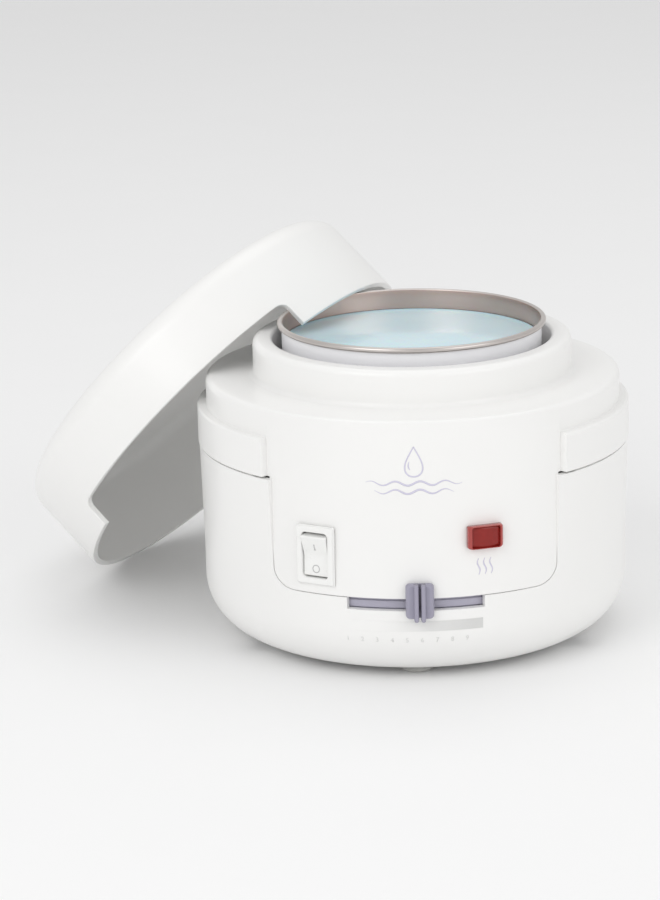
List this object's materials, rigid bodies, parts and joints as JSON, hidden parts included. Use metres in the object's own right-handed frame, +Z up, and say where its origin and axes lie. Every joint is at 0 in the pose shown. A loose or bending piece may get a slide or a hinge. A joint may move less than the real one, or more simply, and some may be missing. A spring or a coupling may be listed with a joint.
{
  "type": "wax warmer pot",
  "caption": "Round tabletop wax warmer whose heated well holds a metal can of hair removal wax, with a sliding heat control, rocker switch, lamp and a lid leaning on it.",
  "frame": {"origin": "on the pot's axis, in the plane of the soles of its foot ring, which is the table top", "axes": "+Z up along the pot's axis, -Y towards the front with the controls, +X to the right seen from the front"},
  "size_m": [0.2281, 0.2328, 0.1418],
  "materials": {
    "housing_white": "warm white moulded ABS, satin",
    "rocker_white": "white switch plastic",
    "foot_rubber": "pale grey rubber",
    "gland_plastic": "white nylon",
    "well_aluminium": "spun, satin",
    "gasket_silicone": "brick red silicone",
    "mica": "mica sheet heater",
    "felt": "glass fibre felt",
    "shield_steel": "zinc plated sheet",
    "screw_steel": "zinc plated",
    "thermostat_resin": "brown moulding compound",
    "lilac_plastic": "lilac grey moulding",
    "brass": "tinned brass",
    "lens_red": "red clear lens",
    "lamp_white": "white nylon",
    "bulb_glass": "neon lamp glass",
    "terminal_nylon": "natural nylon",
    "lead_brown": "brown insulation",
    "lead_blue": "blue insulation",
    "lead_white": "white silicone insulation",
    "tinplate": "bright tinplate",
    "wax_blue": "opaque pale blue wax, melted"
  },
  "bodies": {
    "pot": {"top_housing": "housing_white", "base_housing": "housing_white", "foot_ring": "foot_rubber", "cord_gland": "gland_plastic", "heating_well": "well_aluminium", "well_gasket": "gasket_silicone", "heater_band": "mica", "band_clamp_screw": "screw_steel", "insulation_sleeve": "felt", "base_heater": "mica", "heat_shield": "shield_steel", "thermostat_body": "thermostat_resin", "thermal_fuse": "screw_steel", "fuse_clip": "shield_steel", "switch_frame": "rocker_white", "switch_terminals": "brass", "lamp_lens": "lens_red", "lamp_body": "lamp_white", "lamp_bulb": "bulb_glass", "terminal_block": "terminal_nylon", "live_lead": "lead_brown", "neutral_lead": "lead_blue", "heater_lead": "lead_white", "screw_front_left": "screw_steel", "screw_front_right": "screw_steel", "screw_back_left": "screw_steel", "screw_back_right": "screw_steel"},
    "slider": {"thermostat_spindle": "screw_steel", "lever_arm": "lilac_plastic", "slider_strip": "lilac_plastic", "slider_knob": "lilac_plastic"},
    "rocker": {"rocker": "rocker_white"},
    "can": {"wax_can": "tinplate", "wax": "wax_blue"},
    "lid": {"lid": "housing_white"}
  },
  "joints": [
    {"name": "can_lift", "type": "slide", "parent": "pot", "child": "can", "axis": [0, 0, 1], "range_m": [0, 0.09]},
    {"name": "lid_lift", "type": "slide", "parent": "can", "child": "lid", "axis": [0, 0, 1], "range_m": [0, 0.15]},
    {"name": "switch_rock", "type": "hinge", "parent": "pot", "child": "rocker", "pos_m": [-0.03437, -0.06924, 0.0477], "axis": [-0.8957, 0.4446, 0], "range_deg": [0, 18]},
    {"name": "heat_slide", "type": "hinge", "parent": "pot", "child": "slider", "pos_m": [0, 0, 0.031], "axis": [0, 0, 1], "range_deg": [-16.5, 15]}
  ]
}
